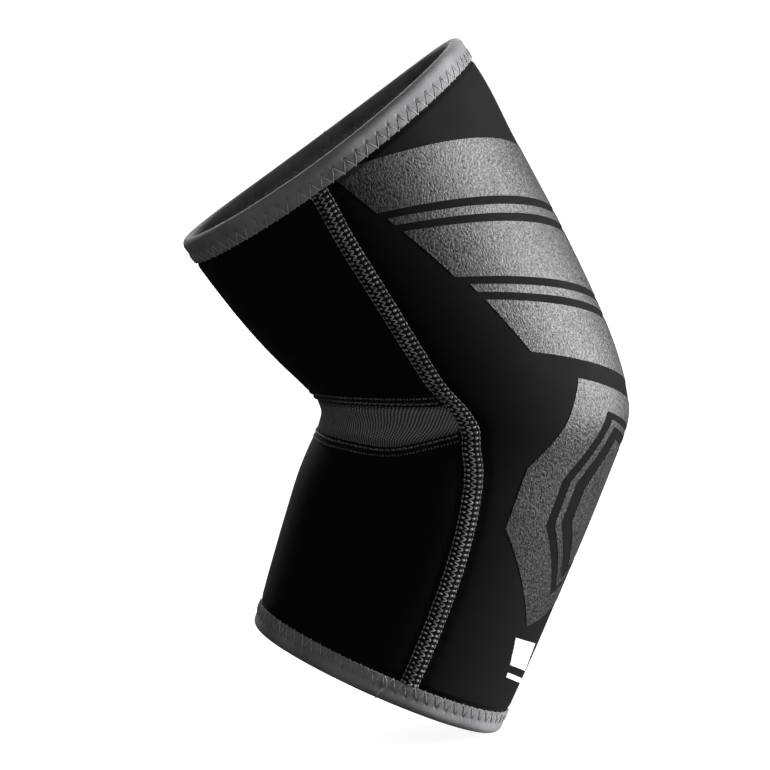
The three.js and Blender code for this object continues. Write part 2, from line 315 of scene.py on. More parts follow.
def slab(outer, inner):
    """A closed slab between two grids of points."""
    rows, columns = outer.shape[:2]
    size = rows * columns
    index = np.arange(size).reshape(rows, columns)
    top = quads(index[:-1, :-1], index[1:, :-1], index[1:, 1:], index[:-1, 1:])
    edge = np.concatenate([index[0], index[1:, -1], index[-1, -2::-1], index[-2:0:-1, 0]])
    ahead = np.roll(edge, -1)
    walls = quads(edge, ahead, ahead + size, edge + size)
    points = np.concatenate([outer.reshape(-1, 3), inner.reshape(-1, 3)])
    return points, np.concatenate([top, top[:, ::-1] + size, walls]).tolist()


def ring(sections):
    """A closed ring through closed sections of the same number of points."""
    index = np.arange(sections.shape[0] * sections.shape[1]).reshape(sections.shape[:2])
    ahead = np.roll(index, -1, axis=0)
    faces = quads(index, ahead, np.roll(ahead, -1, axis=1), np.roll(index, -1, axis=1))
    return sections.reshape(-1, 3), faces.tolist()


THREAD_SIDES = 6


def threads(lines, facing, radius, tip=0.45):
    """Round threads along lines of points, an array of (threads, points, 3), with rounded ends."""
    count, length = lines.shape[:2]
    tangent = unit(np.gradient(lines, axis=1))
    side = unit(np.cross(tangent, facing))
    up = np.cross(side, tangent)
    girth = np.full(length, radius, dtype=float)
    girth[[0, -1]] *= tip
    angle = 2 * np.pi * np.arange(THREAD_SIDES) / THREAD_SIDES
    spread = np.cos(angle)[:, None] * side[:, :, None] + np.sin(angle)[:, None] * up[:, :, None]
    points = lines[:, :, None] + girth[:, None, None] * spread
    index = np.arange(count * length * THREAD_SIDES).reshape(count, length, THREAD_SIDES)
    beside = np.roll(index, -1, axis=2)
    tubes = quads(index[:, :-1], index[:, 1:], beside[:, 1:], beside[:, :-1])
    caps = index[:, 0].tolist() + index[:, -1, ::-1].tolist()
    return points.reshape(-1, 3), tubes.tolist() + caps


def joined(parts):
    """Several lots of points and faces as one."""
    points = []
    faces = []
    start = 0
    for some_points, some_faces in parts:
        points.append(some_points)
        faces += [[start + corner for corner in face] for face in some_faces]
        start += len(some_points)
    return np.concatenate(points), faces


def new_piece(name, shape, material, replaces=(), cloth_map=None):
    """A piece of the sleeve from points in millimetres and faces."""
    points, faces = shape
    mesh = bpy.data.meshes.new(name)
    mesh.from_pydata((points * MM).tolist(), [], faces)
    mesh.polygons.foreach_set("use_smooth", [True] * len(mesh.polygons))
    mesh.set_sharp_from_angle(angle=math.radians(50))
    if cloth_map is not None:
        corners = np.empty(len(mesh.loops), dtype=np.int64)
        mesh.loops.foreach_get("vertex_index", corners)
        layer = mesh.uv_layers.new(name="cloth")
        layer.data.foreach_set("uv", (cloth_map[corners] * MM).reshape(-1))
    mesh.materials.append(material)
    piece = bpy.data.objects.new(name, mesh)
    bpy.context.scene.collection.objects.link(piece)
    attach(piece, "root")
    if replaces:
        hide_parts(*replaces)
    return piece


def cloth_places(at, turn):
    """Millimetres round the arm and along it, for weaves and knits."""
    round_it = turn * ELBOW_WIDTH / 2
    along = at * np.where(at > 0, UPPER_LENGTH, LOWER_LENGTH)
    return np.stack(np.broadcast_arrays(round_it, along), axis=-1).reshape(-1, 2)


# Materials. The distances of their bumps are in metres.

def new_material(name):
    material = bpy.data.materials.new(name)
    material.use_nodes = True
    tree = material.node_tree
    return material, tree, tree.nodes["Principled BSDF"]


def add_node(tree, kind, inputs=None, **settings):
    """A shader node with its settings; its inputs take values or other nodes' outputs."""
    node = tree.nodes.new(kind)
    for key, value in settings.items():
        setattr(node, key, value)
    for key, value in (inputs or {}).items():
        if isinstance(value, bpy.types.NodeSocket):
            tree.links.new(value, node.inputs[key])
        else:
            node.inputs[key].default_value = value
    return node


def cloth_coordinates(tree, scale=(1, 1, 1), turned=0.0):
    """The cloth map, scaled to a number of repeats per metre."""
    place = add_node(tree, "ShaderNodeUVMap", uv_map="cloth")
    mapping = add_node(tree, "ShaderNodeMapping", {"Vector": place.outputs["UV"], "Scale": scale})
    mapping.inputs["Rotation"].default_value = (0, 0, turned)
    return mapping.outputs["Vector"]


def object_place(tree):
    return add_node(tree, "ShaderNodeTexCoord").outputs["Object"]


def noise(tree, place, scale, detail=2.0, roughness=0.5):
    values = {"Vector": place, "Scale": scale, "Detail": detail, "Roughness": roughness}
    return add_node(tree, "ShaderNodeTexNoise", values).outputs["Fac"]


def ramp(tree, value, low, high, low_color, high_color):
    """A colour between two others as a value goes from low to high."""
    node = add_node(tree, "ShaderNodeValToRGB", {"Fac": value})
    node.color_ramp.elements[0].position = low
    node.color_ramp.elements[0].color = (*low_color, 1)
    node.color_ramp.elements[1].position = high
    node.color_ramp.elements[1].color = (*high_color, 1)
    return node.outputs["Color"]


def bump(tree, height, distance, strength=1.0, normal=None):
    values = {"Height": height, "Distance": distance, "Strength": strength}
    if normal is not None:
        values["Normal"] = normal
    return add_node(tree, "ShaderNodeBump", values).outputs["Normal"]


def product(tree, a, b):
    return add_node(tree, "ShaderNodeMath", {0: a, 1: b}, operation="MULTIPLY").outputs["Value"]


def total(tree, a, b):
    return add_node(tree, "ShaderNodeMath", {0: a, 1: b}, operation="ADD").outputs["Value"]


def uneven_roughness(tree, shader, cause, low, high):
    """Roughness between two values, as a noise goes from its low parts to its high ones."""
    value = ramp(tree, cause, 0.3, 0.7, (low, low, low), (high, high, high))
    tree.links.new(value, shader.inputs["Roughness"])


def bands(tree, place, direction, distortion=0.0):
    """Rounded ridges, one per unit of the place in that direction."""
    values = {"Vector": place, "Scale": math.pi / 10, "Distortion": distortion}
    settings = {"wave_type": "BANDS", "bands_direction": direction, "wave_profile": "SIN"}
    return add_node(tree, "ShaderNodeTexWave", values, **settings).outputs["Fac"]


def jersey(name, dark, light, wale, sheen):
    """A fine knit face: columns of loops, with a little unevenness and fluff."""
    material, tree, shader = new_material(name)
    columns = bands(tree, cloth_coordinates(tree, (1000 / wale, 0, 0)), "X", 0.2)
    courses = bands(tree, cloth_coordinates(tree, (0, 1000 / wale * 1.3, 0)), "Y", 0.4)
    loops = product(tree, columns, courses)
    fluff = noise(tree, object_place(tree), 2600, 3)
    cloud = noise(tree, object_place(tree), 60, 3)
    tree.links.new(ramp(tree, cloud, 0.3, 0.75, dark, light), shader.inputs["Base Color"])
    grain = bump(tree, loops, 0.00006, 0.5)
    tree.links.new(bump(tree, fluff, 0.00005, 0.35, grain), shader.inputs["Normal"])
    uneven_roughness(tree, shader, cloud, 0.76, 0.88)
    shader.inputs["Specular IOR Level"].default_value = 0.12
    shader.inputs["Sheen Weight"].default_value = sheen
    shader.inputs["Sheen Roughness"].default_value = 0.45
    return material


def rib_knit(name, shaded_valley, lit_crest):
    """Bold ribs with small rungs between them; the cloth map counts ribs and rungs."""
    material, tree, shader = new_material(name)
    ribs = bands(tree, cloth_coordinates(tree, (1000, 0, 0)), "X", 0.4)
    rungs = bands(tree, cloth_coordinates(tree, (0, 1000, 0)), "Y", 0.6)
    fluff = noise(tree, object_place(tree), 1300, 3, 0.6)
    loops = product(tree, ribs, total(tree, product(tree, rungs, 0.65), 0.35))
    height = total(tree, product(tree, loops, 0.75), product(tree, fluff, 0.35))
    # The colour is partly painted shade and highlight: dark in the rib valleys and light on the
    # crests, with the fluff varying the tone at random.
    tree.links.new(ramp(tree, height, 0.28, 0.82, shaded_valley, lit_crest), shader.inputs["Base Color"])
    relief_bump = bump(tree, height, 0.00015, 0.6)
    tree.links.new(bump(tree, fluff, 0.00005, 0.4, relief_bump), shader.inputs["Normal"])
    uneven_roughness(tree, shader, fluff, 0.72, 0.88)
    shader.inputs["Specular IOR Level"].default_value = 0.2
    shader.inputs["Sheen Weight"].default_value = 0.08
    return material


def print_ink(name, dark, light, roughness, flakes=0.0, edge=1.0):
    """A rubbery print on the jersey: crazed, grainy and pitted.

    flakes is the share of shiny flakes in it, and edge dims their gloss at a low angle.
    """
    material, tree, shader = new_material(name)
    place = object_place(tree)
    stretched = add_node(tree, "ShaderNodeMapping", {"Vector": place, "Scale": (1, 1, 0.7)})
    grain = noise(tree, stretched.outputs["Vector"], 1550, 2.5, 0.65)
    cells = add_node(tree, "ShaderNodeTexVoronoi", {"Vector": place, "Scale": 1200.0})
    speckle = total(tree, product(tree, grain, 0.8), product(tree, cells.outputs["Distance"], 0.3))
    pits = add_node(tree, "ShaderNodeTexVoronoi", {"Vector": place, "Scale": 260.0})
    solid = ramp(tree, pits.outputs["Distance"], 0.08, 0.12, (0.1, 0.1, 0.1), (1, 1, 1))
    color = ramp(tree, product(tree, speckle, solid), 0.4, 0.66, dark, light)
    tree.links.new(color, shader.inputs["Base Color"])
    rough = bump(tree, grain, 0.00028, 1.0)
    pitted = bump(tree, solid, 0.00008, 0.6, rough)
    tree.links.new(pitted, shader.inputs["Normal"])
    uneven_roughness(tree, shader, grain, roughness - 0.14, roughness + 0.14)
    shader.inputs["Specular IOR Level"].default_value = 0.55
    shader.inputs["Metallic"].default_value = flakes
    shader.inputs["Specular Tint"].default_value = (edge, edge, edge, 1)
    return material


def woven_tape(name, dark, light):
    """A soft grey tape: fine ribs across it, fluff and uneven dye."""
    material, tree, shader = new_material(name)
    ribs = bands(tree, cloth_coordinates(tree, (1000 / 0.55, 0, 0)), "X", 0.8)
    lines = bands(tree, cloth_coordinates(tree, (0, 1000 / 0.5, 0)), "Y", 0.8)
    fluff = noise(tree, object_place(tree), 2200, 3)
    cloud = noise(tree, object_place(tree), 110, 3)
    tree.links.new(ramp(tree, cloud, 0.3, 0.7, dark, light), shader.inputs["Base Color"])
    weave = bump(tree, product(tree, ribs, lines), 0.00007, 0.5)
    tree.links.new(bump(tree, fluff, 0.00006, 0.5, weave), shader.inputs["Normal"])
    uneven_roughness(tree, shader, cloud, 0.68, 0.82)
    shader.inputs["Specular IOR Level"].default_value = 0.3
    shader.inputs["Sheen Weight"].default_value = 0.12
    return material


def thread(name, dark, light):
    """Spun polyester thread: fine twist lines and a soft gloss."""
    material, tree, shader = new_material(name)
    place = object_place(tree)
    twist = noise(tree, place, 4200, 2)
    shade = noise(tree, place, 260, 2)
    tree.links.new(ramp(tree, shade, 0.35, 0.7, dark, light), shader.inputs["Base Color"])
    tree.links.new(bump(tree, twist, 0.00005, 0.5), shader.inputs["Normal"])
    uneven_roughness(tree, shader, shade, 0.42, 0.58)
    shader.inputs["Sheen Weight"].default_value = 0.1
    return material


OUTER_JERSEY = jersey("outer_jersey", (0.0016, 0.0016, 0.0017), (0.0032, 0.0032, 0.0033), 0.6, 0.008)
INNER_JERSEY = jersey("inner_jersey", (0.002, 0.002, 0.0021), (0.004, 0.004, 0.0041), 0.6, 0.0)
# The lining is painted lighter than the black neoprene, as painted light for the little light that
# reaches inside the sleeve.
LINING_PAINTED_LIGHT = jersey("lining_jersey_painted_light", (0.03, 0.03, 0.031), (0.045, 0.045, 0.046), 0.8, 0.04)
# The knit's two colours are painted shade for the rib valleys and painted highlight for the crests.
KNIT = rib_knit("ribbed_knit", (0.036, 0.035, 0.036), (0.28, 0.275, 0.28))
SEAM_CLOTH = jersey("seam_cloth", (0.003, 0.003, 0.003), (0.007, 0.007, 0.007), 0.5, 0.05)
TAPE = woven_tape("grey_tape", (0.13, 0.13, 0.135), (0.2, 0.2, 0.205))
TAPE_THREAD = thread("tape_thread", (0.2, 0.2, 0.205), (0.32, 0.32, 0.325))
SEAM_THREAD = thread("seam_thread", (0.12, 0.12, 0.12), (0.26, 0.26, 0.26))
CROOK_THREAD = thread("crook_thread", (0.06, 0.06, 0.06), (0.14, 0.14, 0.14))
GRIP_INK = print_ink("grip_ink", (0.04, 0.04, 0.04), (0.115, 0.115, 0.115), 0.57,
                     flakes=1.0, edge=0.65)
WHITE_INK = print_ink("white_ink", (0.7, 0.7, 0.7), (0.9, 0.9, 0.9), 0.45)


# The neoprene panels

PINCH = TAPE_THICKNESS + TAPE_CLEARANCE - TAPE_PROUD


def squeeze(from_rim):
    """How far a rim's tape presses each face of the neoprene in."""
    hem = TAPE_WIDTH + TAPE_CLEARANCE
    pressed = PINCH * ease((hem + PINCH_RAMP - from_rim) / PINCH_RAMP)
    return pressed + (WALL / 2 - PINCH) / 2 * ease(-from_rim / NOSE)


def rim_squeeze(at, turn):
    pressed = 0.0
    for end in (UPPER, LOWER):
        rim = near_rim(end, turn, 0.0)
        from_rim = end * (rim - at) * length_of(up_the_arm(at, turn))
        pressed = np.maximum(pressed, squeeze(from_rim))
    return pressed


def neoprene_panel(name, at, turn, material, node):
    """A panel with the cloth's relief outside and a plainer face inside."""
    pressed = rim_squeeze(at, turn)
    outer = over_cloth(at, turn, -pressed)
    inner = skin(at, turn) + outward(at, turn) * (pressed - WALL)[..., None]
    places = np.concatenate([cloth_places(at, turn)] * 2)
    piece = new_piece(name, slab(outer, inner), material, [node], places)
    # The inside face takes the lining, which is painted lighter as light inside the sleeve.
    piece.data.materials.append(LINING_PAINTED_LIGHT)
    quads_a_side = (outer.shape[0] - 1) * (outer.shape[1] - 1)
    for polygon in piece.data.polygons[quads_a_side : 2 * quads_a_side]:
        polygon.material_index = 1


def outer_panel():
    rows, columns = 220, 116
    column = np.linspace(-1, 1, columns)[None, :]
    share = np.linspace(0, 1, rows)[:, None]
    share = share - 0.08 * np.sin(2 * np.pi * share)  # closer rows at the rims
    low = near_rim(LOWER, elbow_turn(-1.0, column), -NOSE)
    high = near_rim(UPPER, elbow_turn(1.0, column), -NOSE)
    at = lerp(low, high, share)
    neoprene_panel(
        "outer_neoprene", at, elbow_turn(at, column), OUTER_JERSEY, "outer_panel",
    )


def inner_panel(end, name, node):
    rows, columns = 74, 96
    column = np.linspace(-1, 1, columns)[None, :]
    share = np.linspace(0, 1, rows)[:, None]
    edge = insert_edge(end, column)
    fold_edge = move_up(edge, crook_turn(edge, column), end * PANEL_GAP / 2)
    rim_edge = near_rim(end, crook_turn(float(end), column), -NOSE)
    at = lerp(fold_edge, rim_edge, share ** 1.25)
    if end == LOWER:
        at = at[::-1]
    turn = crook_turn(at, column)
    neoprene_panel(name, at, turn, INNER_JERSEY, node)


# The knit insert

RIB_PITCH = 1.12
RIB_HEIGHT = 0.14
RIB_LEAN = 0.08  # sideways for each millimetre up, in the crook
RIB_LEAN_GAIN = 0.9  # what the lean grows by towards the tips
RIB_LEAN_START = 32  # from here round the arm
RIB_LEAN_RUN = 34
WEFT_PITCH = 0.85
WEFT_LEAN = 0.35
KNIT_SINK = 0.12
KNIT_GROOVE = 1.3  # how deep the knit dips under the seams beside it, towards the sides
KNIT_GROOVE_WIDTH = 2.6


def crook_insert():
    """Ribs that stand across the insert in the crook and lean more and more towards its tips."""
    rows, columns = 34, 860
    column = np.linspace(-1, 1, columns)[None, :]
    share = np.linspace(0, 1, rows)[:, None]
    at = lerp(insert_edge(LOWER, column), insert_edge(UPPER, column), share)
    turn = crook_turn(at, column)
    above, below = (
        smooth(INSERT_ACROSS, INSERT_EDGES[end], np.abs(column)) * INSERT_HEIGHT / 2
        for end in (UPPER, LOWER)
    )
    up = lerp(-below, above, share)
    round_it = np.abs(column) * np.pi / 2 * ELBOW_WIDTH / 2
    lean = RIB_LEAN + RIB_LEAN_GAIN * ease((round_it - RIB_LEAN_START) / RIB_LEAN_RUN)
    wander = 0.16 * np.sin(round_it / 3.7) + 0.12 * np.sin(up / 1.9 + round_it / 5.3)
    rib = (round_it - lean * up + wander) / RIB_PITCH
    weft = (up + WEFT_LEAN * round_it) / WEFT_PITCH
    ribs = -RIB_HEIGHT * np.cos(2 * np.pi * rib)
    from_edge = np.minimum(above - up, up + below)
    groove = KNIT_GROOVE * ease(0.1 + 1.8 * np.abs(column))
    sunk = KNIT_SINK + groove * (1 - ease(from_edge / KNIT_GROOVE_WIDTH))
    outer = over_cloth(at, turn, ribs - sunk)
    inner = over_cloth(at, turn, -INSERT_THICKNESS - sunk)
    counts = np.stack([rib, weft], axis=-1).reshape(-1, 2)
    piece = new_piece(
        "crook_knit", slab(outer, inner), KNIT, ["crook_insert"],
        np.concatenate([counts, counts]),
    )


# Seams: a raised bed of cloth with rows of thread on it

SIDE_BED = 0.85  # how proud of the cloth each strip is
CROOK_BED = 0.12
BED_DEPTH = 0.35  # how far the strips reach down into the cloth
BED_EDGE = -0.08  # the height of their edges
BED_STEP = 1.1


def seam_crown(across, width, proud):
    """Height of a seam's rounded strip at a distance from its middle."""
    return BED_EDGE + proud * (1 - np.abs(2 * across / width) ** 2.6)


def seam_bed(width, length, place, proud):
    """A low rounded strip. place(along, across, height) gives its points."""
    along = np.linspace(0, length, round(length / BED_STEP))[:, None]
    across = np.linspace(-width / 2, width / 2, 15)[None, :]
    along, across = np.broadcast_arrays(along, across)
    top = place(along, across, seam_crown(across, width, proud))
    under = place(along, across, -BED_DEPTH)
    return slab(top, under)


STITCH_DRIFT = 0.045  # how far the stitches stray from an even row


def stitch_row(strokes, pitch, seam, width, proud):
    """Threads of one kind repeated along a seam.

    A stroke goes from one (share of the pitch, across) to another and bows up in between.
    """
    random = np.random.default_rng(11)
    lots = []
    repeats = int(seam.length / pitch)
    start = (seam.length - repeats * pitch) / 2 + pitch * np.arange(repeats)
    for (from_along, from_across), (to_along, to_across), radius, bow in strokes:
        w = np.linspace(0, 1, 6)[None, :]
        drift = random.normal(0, STITCH_DRIFT, (3, repeats, 1))
        along = start[:, None] + lerp(from_along, to_along, w) * pitch + drift[0]
        across = lerp(from_across + drift[1], to_across + drift[2], w)
        rise = radius * 0.4 + bow * np.sin(np.pi * w)
        lines = seam.place(along, across, seam_crown(across, width, proud) + rise)
        lots.append(threads(lines, seam.facing(along, across), radius))
    return joined(lots)


class SideSeam:
    """Places on a side seam: millimetres along it from the lower rim, across it towards the elbow."""

    def __init__(self, side):
        self.side = side
        clear = TAPE_WIDTH - 0.2
        low = near_rim(LOWER, seam_turn(-1.0), clear)
        high = near_rim(UPPER, seam_turn(1.0), clear)
        self.at = np.linspace(low, high, 500)
        line = skin(self.at, seam_turn(self.at))
        self.along = np.concatenate([[0], np.cumsum(length_of(np.diff(line, axis=0)))])
        self.length = self.along[-1]

    def on_sleeve(self, along, across):
        at = np.interp(along, self.along, self.at)
        turn = move_round(at, seam_turn(at), -across)
        return at, self.side * turn

    def place(self, along, across, height):
        return over_cloth(*self.on_sleeve(along, across), height)

    def facing(self, along, across):
        return outward(*self.on_sleeve(along, across))


class CrookSeam:
    """Places on a seam beside the insert: millimetres round the crook, and across it up the arm."""

    def __init__(self, end):
        self.end = end
        self.column = np.linspace(-1, 1, 400)
        edge = insert_edge(end, self.column)
        line = skin(edge, crook_turn(edge, self.column))
        self.along = np.concatenate([[0], np.cumsum(length_of(np.diff(line, axis=0)))])
        self.length = self.along[-1]

    def on_sleeve(self, along, across):
        column = np.interp(along, self.along, self.column)
        edge = insert_edge(self.end, column)
        middle = self.end * (PANEL_GAP + CROOK_SEAM_WIDTH) / 2
        at = move_up(edge, crook_turn(edge, column), middle + across)
        clear = SIDE_SEAM_WIDTH / 2
        nearest = move_round(at, seam_turn(at), clear)
        return at, np.pi + column * (np.pi - nearest)

    def place(self, along, across, height):
        return over_cloth(*self.on_sleeve(along, across), height)

    def facing(self, along, across):
        return outward(*self.on_sleeve(along, across))


# A stroke: where it starts and ends (share of the pitch, millimetres across), its radius and bow.
SIDE_PITCH = 1.66
SIDE_STROKES = [
    ((0.06, 2.74), (0.84, 2.64), 0.23, 0.10),
    ((0.45, 1.20), (0.54, 2.12), 0.37, 0.14),
    ((0.00, -0.95), (0.48, 0.75), 0.25, 0.18),
    ((0.48, 0.75), (0.96, -0.95), 0.17, 0.10),
    ((0.42, -1.30), (0.52, -2.20), 0.30, 0.14),
    ((0.10, -2.70), (0.80, -2.74), 0.20, 0.08),
]
CROOK_PITCH = 2.1
CROOK_STROKES = [
    ((0.2, -0.82), (0.72, -0.87), 0.30, 0.10),
    ((0.82, -1.25), (0.98, -0.45), 0.17, 0.05),
    ((0.18, 0.70), (0.24, 1.20), 0.22, 0.06),
    ((0.62, 0.70), (0.68, 1.20), 0.22, 0.06),
]


def side_seam(side, name, node):
    seam = SideSeam(side)
    bed = seam_bed(SIDE_SEAM_WIDTH, seam.length, seam.place, SIDE_BED)
    rows = stitch_row(SIDE_STROKES, SIDE_PITCH, seam, SIDE_SEAM_WIDTH, SIDE_BED)
    if side == FAR:
        bed = (bed[0], [face[::-1] for face in bed[1]])
    new_piece(name + "_bed", bed, SEAM_CLOTH, [node])
    new_piece(name + "_thread", rows, SEAM_THREAD, ())


def crook_seam(end, name, node):
    seam = CrookSeam(end)
    strokes = [((a, end * b), (c, end * d), r, bow) for (a, b), (c, d), r, bow in CROOK_STROKES]
    points, faces = seam_bed(CROOK_SEAM_WIDTH, seam.length, seam.place, CROOK_BED)
    rows = stitch_row(strokes, CROOK_PITCH, seam, CROOK_SEAM_WIDTH, CROOK_BED)
    new_piece(name + "_bed", (points, [face[::-1] for face in faces]), SEAM_CLOTH, [node])
    new_piece(name + "_thread", rows, CROOK_THREAD, ())


# The tapes folded over the rims

TAPE_STEP = 0.33
ZIGZAG_HEIGHT = 3.5
ZIGZAG_PITCH = {UPPER: 4.3, LOWER: 3.6}
FOLD_RADIUS = WALL / 2 + TAPE_PROUD
LAP_TURN = {UPPER: 1.5 * np.pi, LOWER: 2.5 * np.pi}  # where the tape's ends overlap
LAP_HEIGHT = 0.35
LAP_CURVE = 1.6  # how far the cut of the tape's upper end bows
LAP_STEP = 0.5  # the step up onto the overlap, its length and its run-out, along the rim
LAP_LENGTH = 6
LAP_RUN_OUT = 5
LAP_HOLE = 0.6  # the dent where the needle ended, past the cut
NEEDLE_DENT = 0.5  # at each stitch of the needle row, and all along it
ROW_DENT = 0.12
HEM_DENT = 0.22  # between the stitches at the hem
ZIGZAG_DENT = 0.1  # under the threads
HEM_SCALLOP = 0.16  # how far the hem is drawn in at the stitches, about its middle line
HEM_MIDDLE = 0.06
TAPE_THREAD_RADIUS = 0.17
HEM_OVERHANG = 0.35  # how far the zigzag reaches past the hem
LAP_THREAD_RADIUS = 0.25
LAP_THREAD_LIFT = 0.08
LAP_THREAD_OVERHANG = 0.2


class Rim:
    """Places on a rim's tape: millimetres round it from the crook, and beyond the rim's edge."""

    def __init__(self, end):
        self.end = end
        self.turn = np.pi + np.linspace(0, 2 * np.pi, 721)
        line = skin(near_rim(end, self.turn, 0.0), self.turn)
        self.along = np.concatenate([[0], np.cumsum(length_of(np.diff(line, axis=0)))])
        self.length = self.along[-1]
        self.repeats = round(self.length / ZIGZAG_PITCH[end])
        self.pitch = self.length / self.repeats
        self.lap = np.interp(LAP_TURN[end], self.turn, self.along)

    def lap_edge(self, beyond):
        """Where the upper end of the tape is cut, in a shallow curve."""
        return self.lap - LAP_CURVE * np.sin(np.pi * np.clip(-beyond / TAPE_WIDTH, 0, 1))

    def relief(self, along, beyond):
        """Dents where the needle went in, puffs between them, and the step where the ends overlap."""
        phase = 2 * np.pi * along / self.pitch
        row = beyond + TAPE_WIDTH - ZIGZAG_HEIGHT
        needle = (0.5 + 0.5 * np.cos(phase)) ** 14
        dents = NEEDLE_DENT * bell(row, 0.5) * needle + ROW_DENT * bell(row, 1.1)
        hem = HEM_DENT * bell(row + ZIGZAG_HEIGHT - 0.3, 0.9) * (0.5 - 0.5 * np.cos(phase)) ** 2
        strokes = np.abs((along / self.pitch) % 1 - 0.5) * 2
        under = ZIGZAG_DENT * bell(row / ZIGZAG_HEIGHT + 1 - strokes, 0.16) * (row < 0.2)
        drift = 0.06 * np.sin(along / 7.3) + 0.04 * np.sin(along / 3.1 + 1)
        past = along - self.lap_edge(beyond)
        lap = LAP_HEIGHT * ease(past / LAP_STEP) * (1 - ease((past - LAP_LENGTH) / LAP_RUN_OUT))
        hole = LAP_HOLE * bell(past - 1.6, 0.55) * bell(row, 1.0)
        return drift + lap - dents - hem - under - hole

    def on_sleeve(self, along, beyond):
        turn = np.interp(along, self.along, self.turn)
        return near_rim(self.end, turn, -beyond), turn

    def place(self, along, beyond, height):
        """height is over the smooth surface, because the tape lies flat over the cloth's relief."""
        at, turn = self.on_sleeve(along, beyond)
        return skin(at, turn) + outward(at, turn) * height[..., None]

    def facing(self, along, beyond):
        return outward(*self.on_sleeve(along, beyond))

    def forward(self, along, beyond):
        return unit(round_the_arm(*self.on_sleeve(along, beyond)))


def tape_outline():
    """The tape's closed section: how far beyond the rim, how high, and 1 outside or -1 in the arm."""
    fine = np.linspace(-TAPE_WIDTH, 0, 15)
    lining = np.linspace(0, -TAPE_WIDTH, 9)
    hidden = np.linspace(-TAPE_WIDTH, 0, 4)
    bend = np.linspace(np.pi / 2, -np.pi / 2, 14)[1:-1]
    hidden_bend = np.linspace(-np.pi / 2, np.pi / 2, 7)[1:-1]
    outer = FOLD_RADIUS
    inner = FOLD_RADIUS - TAPE_THICKNESS
    parts = [
        (fine, outer + 0 * fine, 1 + 0 * fine),
        (outer * np.cos(bend), outer * np.sin(bend), np.sin(bend)),
        (lining, -outer + 0 * lining, -1 + 0 * lining),
        (hidden, -inner + 0 * hidden, 0 * hidden),
        (inner * np.cos(hidden_bend), inner * np.sin(hidden_bend), 0 * hidden_bend),
        (hidden[::-1], inner + 0 * hidden, 0 * hidden),
    ]
    beyond, height, side = (np.concatenate(column) for column in zip(*parts))
    return beyond, height - WALL / 2, side


def rim_tape(end, name, node):
    rim = Rim(end)
    beyond, height, side = tape_outline()
    steps = round(rim.length / TAPE_STEP)
    along = (np.arange(steps) * rim.length / steps)[:, None]
    phase = 2 * np.pi * along / rim.pitch
    hem_share = np.clip(-beyond / TAPE_WIDTH, 0, 1) ** 6
    fray = 0.06 * np.sin(along * 5.3) + 0.05 * np.sin(along * 8.1 + 1)
    scallop = HEM_SCALLOP * (0.5 - 0.5 * np.cos(phase)) - HEM_MIDDLE
    shifted = beyond + (scallop + fray) * hem_share
    raised = height + side * rim.relief(along, beyond + 0 * along)
    points, faces = ring(rim.place(along + 0 * shifted, shifted, raised))
    if end == UPPER:
        faces = [face[::-1] for face in faces]
    places = np.stack(np.broadcast_arrays(along, beyond + 0 * along), axis=-1).reshape(-1, 2)
    piece = new_piece(name, (points, faces), TAPE, [node], places)
    tape_stitches(rim, name + "_thread")


def tape_stitches(rim, name):
    """A zigzag of thread from the hem to the needle row on both faces, and a thread down the lap."""
    w = np.linspace(0, 1, 7)[None, :]
    start = rim.pitch * np.arange(rim.repeats)[:, None]
    lots = []
    for rising in (-1, 1):
        along = start + rising * (1 - w) * rim.pitch / 2
        beyond = -TAPE_WIDTH - HEM_OVERHANG + w * (ZIGZAG_HEIGHT + HEM_OVERHANG) + 0 * along
        sunk = np.where(w < 0.08, TAPE_PROUD * 0.8, 0)
        rise = TAPE_PROUD + TAPE_THREAD_RADIUS * 0.55 + rim.relief(along, beyond) * 0.9 - sunk
        for height in (rise, -WALL - rise):
            lines = rim.place(along, beyond, height)
            lots.append(threads(lines, rim.facing(along, beyond), TAPE_THREAD_RADIUS, 0.6))
    run = np.linspace(-TAPE_WIDTH - LAP_THREAD_OVERHANG, 0, 12)
    bend = np.linspace(np.pi / 2, -np.pi / 2, 14)[1:]
    reach = FOLD_RADIUS + LAP_THREAD_LIFT
    beyond = np.concatenate([run, reach * np.cos(bend)])[None, :]
    side = np.concatenate([1 + 0 * run, np.sin(bend)])[None, :]
    along = rim.lap_edge(beyond) + 0.1
    rise = side * (reach + rim.relief(along, beyond)) - WALL / 2
    lines = rim.place(along, beyond, rise)
    lots.append(threads(lines, rim.forward(along, beyond), LAP_THREAD_RADIUS))
    new_piece(name, joined(lots), TAPE_THREAD, ())


# The grip print: flat shapes on a chart of the elbow side, laid over the cloth

INK_HEIGHT = 0.16
INK_DEPTH = 0.1  # how far the ink reaches down into the cloth
INK_CELL = 2.5  # the shapes are cut into cells this wide, so that they bend with the cloth
HEM_CELL = 0.5  # and this long from HEM_START up the arm, where the tape squeezes the cloth
HEM_START = 80.0
CHEVRON_RISE = 0.3  # how far a chevron climbs the arm for each millimetre round it
CHEVRON_CUT = 6.0 / 15  # how far its end is slanted for each millimetre of its width

# Chevrons on the upper arm: the lower edge's place up the arm at the elbow's line, the width, and
# how far round the arm it ends.
CHEVRONS = [
    (7.5, 15.0, 55.0),
    (24.8, 2.4, 57.0),
    (29.5, 15.5, 66.0),
    (47.3, 2.4, 68.0),
    (52.0, 15.5, 76.0),
]

# The elbow pad's outline on the near side, (round the arm, up the arm), and its bands, as shares of
# the way from the outline in to the pad's middle.
PAD_OUTLINE = [(0.0, 2.0), (36.0, 12.8), (54.0, -12.0), (54.0, -30.0), (28.0, -57.0), (0.0, -48.6)]
PAD_MIDDLE = (0.0, -24.0)
PAD_BANDS = [(0.0, 0.27), (0.34, 0.395), (0.5, 1.0)]


def chevron(low, width, end):
    """One arm of a chevron, from the elbow's line to a slanted end."""
    cut = end - CHEVRON_CUT * width
    return [
        (0.0, low),
        (cut, low + CHEVRON_RISE * cut),
        (end, low + width + CHEVRON_RISE * end),
        (0.0, low + width),
    ]


